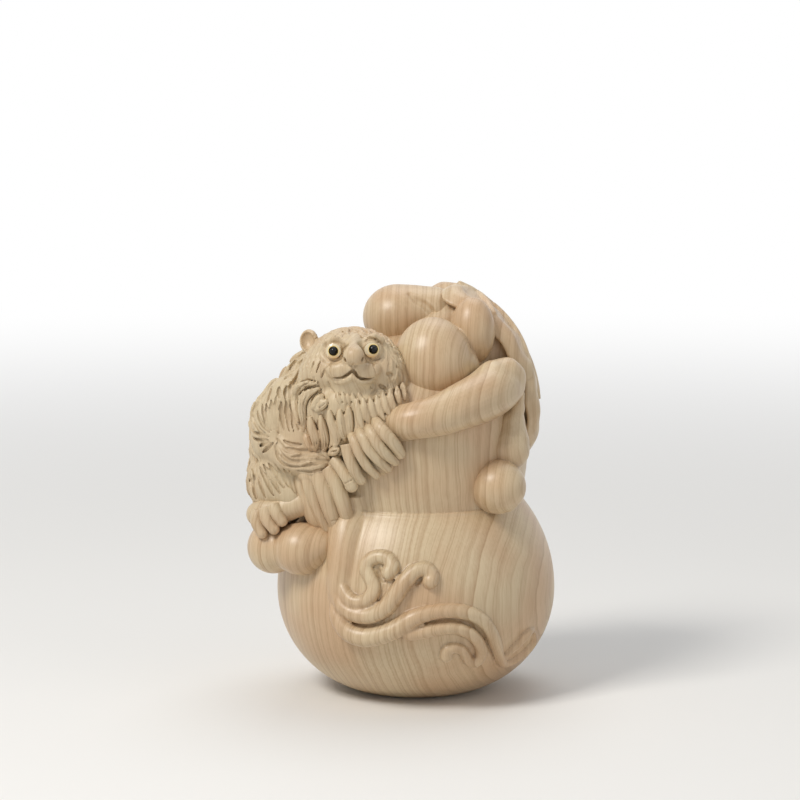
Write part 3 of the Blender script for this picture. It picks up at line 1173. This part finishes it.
feet = {
    "nearFoot": {
        "low": (-29.0, -17.0, 24.0), "high": (-14.0, -7.0, 36.0),
        "sole": placed([(300, 503, -12.2, 2.2), (283, 509, -12.0, 2.0), (268, 512, -11.6, 2.0),
                        (259, 514, -11.0, 2.0)]),
        "toes": [placed([(258, 511, -12.4, 1.0), (255, 521, -13.0, 0.98), (262, 533, -13.3, 0.88)]),
                 placed([(265, 508, -13.2, 1.0), (266, 520, -13.9, 0.98), (274, 529, -14.0, 0.88)]),
                 placed([(273, 505, -13.6, 1.0), (276, 514, -14.3, 0.98), (282, 521, -14.2, 0.88)])]},
    "farFoot": {
        "low": (-24.5, 4.5, 22.5), "high": (-14.0, 17.5, 34.5),
        "sole": [(-20.5, 8.6, 30.4, 2.0), (-18.6, 11.0, 28.4, 1.8)],
        "toes": [[(-19.2, 11.0, 29.3, 1.0), (-18.2, 13.0, 29.0, .95), (-17.0, 14.2, 28.2, .85)],
                 [(-19.6, 11.4, 28.2, 1.0), (-18.6, 13.4, 27.4, .95), (-17.4, 14.6, 26.6, .85)],
                 [(-20.0, 11.2, 27.2, 1.0), (-19.2, 13.0, 26.0, .95), (-18.2, 14.0, 25.2, .85)]]},
}


def digit(clay, rows, blend):
    path = smoothed(lengthened([row[:3] for row in rows], 0.6), 2)
    along, marks = np.linspace(0, 1, len(path)), np.linspace(0, 1, len(rows))
    radii = np.interp(along, marks, [row[3] for row in rows])
    clay.sweep([(path, radii)], 16, 0.3, blend)
    clay.shape(egg(path[-1], radii[-1] * roundEnd), 0.12)


def makeHands():
    clay = Clay((-21.0, -23.5, 24.5), (2.0, -8.5, 49.0), 0.12)
    for centre, radii in hands["palms"]:
        clay.shape(egg(centre, radii), 0.5)
    for rows in fingers["lower"] + fingers["upper"]:
        digit(clay, placed(rows), 0.06)
    for rows in hands["thumbs"]:
        digit(clay, placed(rows), 0.1)
    nails = []
    for run in hands["nails"]:
        line = clay.seen(lengthened(run, 1.5))
        nails.append((line, np.full(len(line), 0.13)))
    clay.sweep(nails, 8, 0.2, 0.05, cut=True)
    clay.skin("monkeyHands", skinWood)


def makeFeet():
    for name, foot in feet.items():
        clay = Clay(foot["low"], foot["high"], 0.13)
        clay.chain(foot["sole"], 0.8)
        for rows in foot["toes"]:
            digit(clay, rows, 0.1)
        clay.skin(name, skinWood)


makeHands()
makeFeet()


# eyes keep their CAD solids, with their own finishes

eyeLooks = {
    "black": (0.002, 0.002, 0.002, 1), "brownBlack": (0.004, 0.003, 0.003, 1),
    "yellow": (0.80, 0.60, 0.22, 1),  # next to the bead
    "cream": (0.70, 0.60, 0.42, 1),
    "amber": (0.66, 0.40, 0.14, 1),   # the lower rim
    "yellowEnds": (0.82, 1.02), "amberStarts": (0.35, 1.3),      # mm from the bead, and below it
}


def eyeMaterials():
    n = Nodes(bpy.data.materials.new("blackBead"))
    cloud = n.noise(n.place(), 1500.0, 1.0)
    tone = n.mix(cloud.ramp(0.4, 0.7), eyeLooks["black"], eyeLooks["brownBlack"])
    bead = n.finish(n.surface({"Base Color": tone, "Roughness": 0.1, "Specular IOR Level": 0.28}))
    for side in ("left", "right"):
        low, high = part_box(side + "_eye_pupil")
        middle = (np.array(low) + np.array(high)) / 2
        n = Nodes(bpy.data.materials.new(side + "PaleHorn"))
        place = n.place()
        gap = n.vector("DISTANCE", place, tuple(middle), "Value") / mm
        height = n.add("ShaderNodeSeparateXYZ", None, [place], "Z")
        below = (height - float(middle[2])) / -mm
        tone = n.mix(gap.ramp(*eyeLooks["yellowEnds"]), eyeLooks["yellow"], eyeLooks["cream"])
        tone = n.mix(below.ramp(*eyeLooks["amberStarts"]), tone, eyeLooks["amber"])
        horn = n.finish(n.surface({
            "Base Color": tone, "Roughness": 0.25, "Coat Weight": 0.4, "Coat Roughness": 0.05}))
        for part, finish in (("eye_ring", horn), ("eye_pupil", bead)):
            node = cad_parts[f"{side}_{part}"]
            node.data.materials.clear()
            node.data.materials.append(finish)


eyeMaterials()
print("eyes finished")


# floor, backdrop and light

studio = {
    "table": ((0.80, 0.79, 0.77, 1), (0.84, 0.83, 0.81, 1)),
    "fade": (0.12, 0.55),             # metres from the part, where the table turns white
    "white": (1, 1, 1, 1), "dim": (0.93, 0.96, 1.0, 1), "dimStrength": 0.33,
    "aim": (0, 0, 0.035),
    "lamps": {                        # place, size in metres, watts and tint
        "keyLamp": ((-0.30, -0.30, 0.48), 0.20, 2.5, (1.0, 0.97, 0.92)),
        "fillLamp": ((0.45, -0.30, 0.25), 0.40, 0.35, (1.0, 0.93, 0.84)),
        "topLamp": ((0.05, 0.20, 0.60), 0.40, 1.0, (1.0, 1.0, 1.0))},
}


def makeStage():
    bpy.ops.mesh.primitive_plane_add(size=12)
    floor = bpy.context.object
    floor.name = "paleFloor"
    n = Nodes(bpy.data.materials.new("paleTable"))
    place = n.place()
    table = n.surface({"Base Color": n.mix(n.noise(place, 3.0, 2.0), *studio["table"]), "Roughness": 0.7})
    glow = n.add("ShaderNodeEmission", None, {"Color": studio["white"]})
    far = n.vector("LENGTH", place, output="Value").ramp(*studio["fade"])
    mixed = n.add("ShaderNodeMixShader", None, [far * n.seenDirectly(), table, glow])
    floor.data.materials.append(n.finish(mixed))


def makeWorld():              # white where the camera looks, dimmer as light
    world = bpy.data.worlds.new("studio")
    bpy.context.scene.world = world
    n = Nodes(world)
    dim = n.add("ShaderNodeBackground", None, {"Color": studio["dim"], "Strength": studio["dimStrength"]})
    bright = n.add("ShaderNodeBackground", None, {"Color": studio["white"]})
    n.finish(n.add("ShaderNodeMixShader", None, [n.seenDirectly(), dim, bright]))


def makeLamps():
    for name, (spot, size, power, tint) in studio["lamps"].items():
        lamp = bpy.data.lights.new(name, "AREA")
        lamp.size, lamp.energy, lamp.color = size, power, tint
        holder = bpy.data.objects.new(name, lamp)
        bpy.context.scene.collection.objects.link(holder)
        holder.location = spot
        aim = np.array(studio["aim"]) - np.array(spot)
        holder.rotation_euler = (math.acos(aim[2] / np.linalg.norm(aim) * -1), 0,
                                 math.atan2(aim[1], aim[0]) - math.pi / 2)


makeStage()
makeWorld()
makeLamps()
bpy.context.scene.view_settings.view_transform = "Standard"
print("stage and lamps set")
